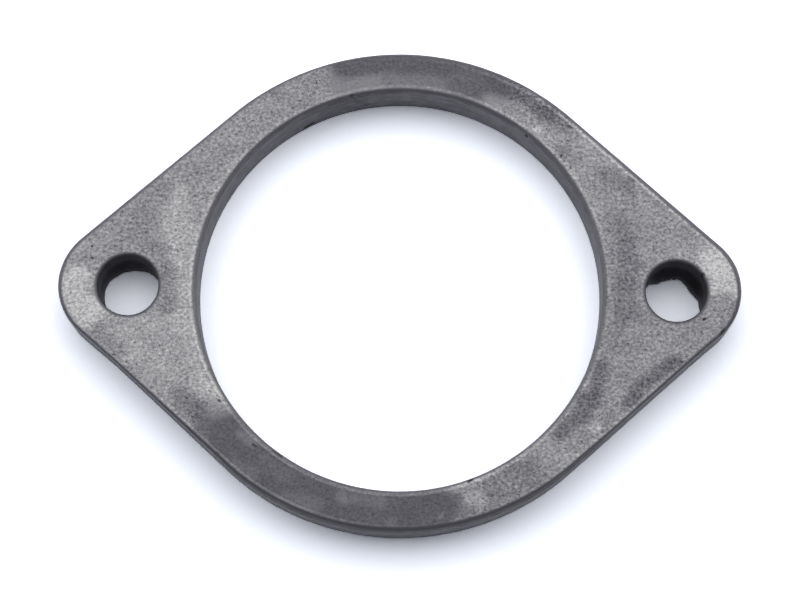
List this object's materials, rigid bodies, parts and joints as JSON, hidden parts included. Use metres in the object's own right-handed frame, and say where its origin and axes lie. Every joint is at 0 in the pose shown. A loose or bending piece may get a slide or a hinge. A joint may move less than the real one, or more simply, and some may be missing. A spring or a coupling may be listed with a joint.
{
  "type": "exhaust flange",
  "caption": "Flat oval steel plate that welds round an exhaust tube and bolts to the next pipe's flange through its pointed ears.",
  "frame": {"origin": "on the pipe bore's axis, in the plane of the lower face, at the middle of the outline", "axes": "+X through the bolt ears, +Y across the ring, +Z along the pipe bore, out of the upper face"},
  "size_m": [0.13, 0.093, 0.0095],
  "materials": {
    "bare_steel": "raw tumbled plate, matt grey, speckled with darker mill scale"
  },
  "bodies": {
    "root": {"exhaust_flange": "bare_steel"}
  },
  "joints": []
}
